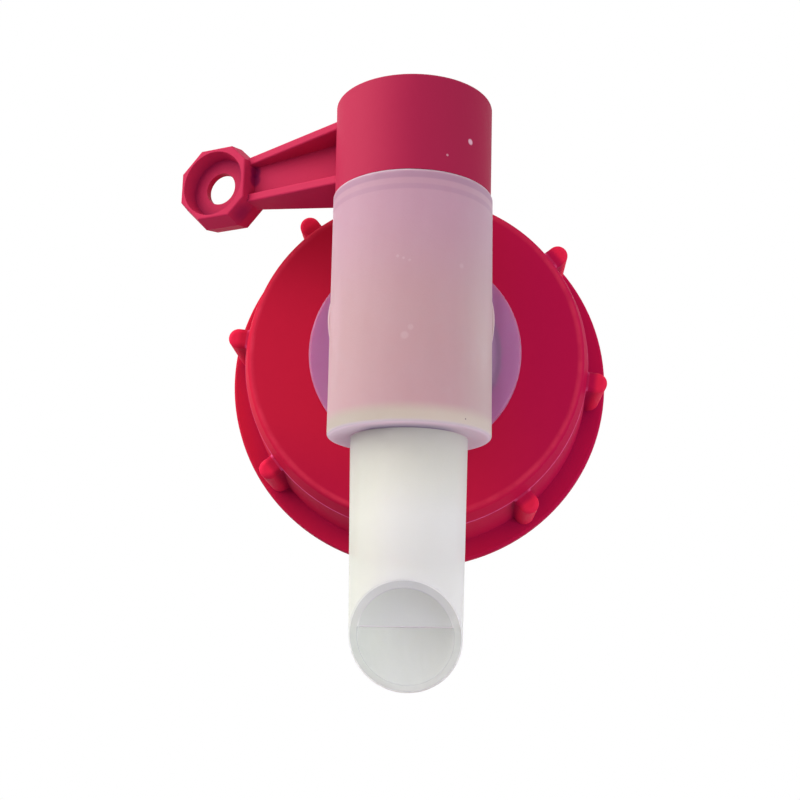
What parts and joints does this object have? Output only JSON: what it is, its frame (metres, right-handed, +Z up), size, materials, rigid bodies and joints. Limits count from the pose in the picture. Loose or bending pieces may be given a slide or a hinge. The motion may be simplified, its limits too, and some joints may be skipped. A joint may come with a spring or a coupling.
{
  "type": "jerrycan tap",
  "caption": "Jerrycan tap: a screw cap for a 61 mm can neck with a quarter-turn plug, side lever with eye, and slanted divided spout.",
  "frame": {"origin": "centre of the cap's open rim, on the axis of the cap's thread", "axes": "+Y along the cap's axis into the can, +Z up along the barrel, the spout points down, +X to the right of someone facing the can"},
  "size_m": [0.0809, 0.0559, 0.099],
  "materials": {
    "cap_plastic": "moulded red polyethylene, satin gloss",
    "plug_plastic": "moulded red polyethylene, satin gloss",
    "body_plastic": "natural polyethylene, milky and translucent",
    "flange_plastic": "natural polyethylene, milky",
    "gasket_foam": "pale closed-cell foam, matt",
    "seal_rubber": "black rubber"
  },
  "bodies": {
    "cap": {"cap_nut": "cap_plastic", "mouth_gasket": "gasket_foam"},
    "body": {"tap_body": "body_plastic", "retaining_flange": "flange_plastic", "neck_seal_ring": "seal_rubber"},
    "plug": {"plug_with_lever": "plug_plastic"}
  },
  "joints": [
    {"name": "neck_swivel", "type": "hinge", "parent": "cap", "child": "body", "pos_m": [0, -0.0203, 0], "axis": [0, 1, 0], "continuous": true},
    {"name": "plug_turn", "type": "hinge", "parent": "body", "child": "plug", "pos_m": [0, -0.0423, 0], "axis": [0, 0, 1], "range_deg": [0, 90]}
  ]
}
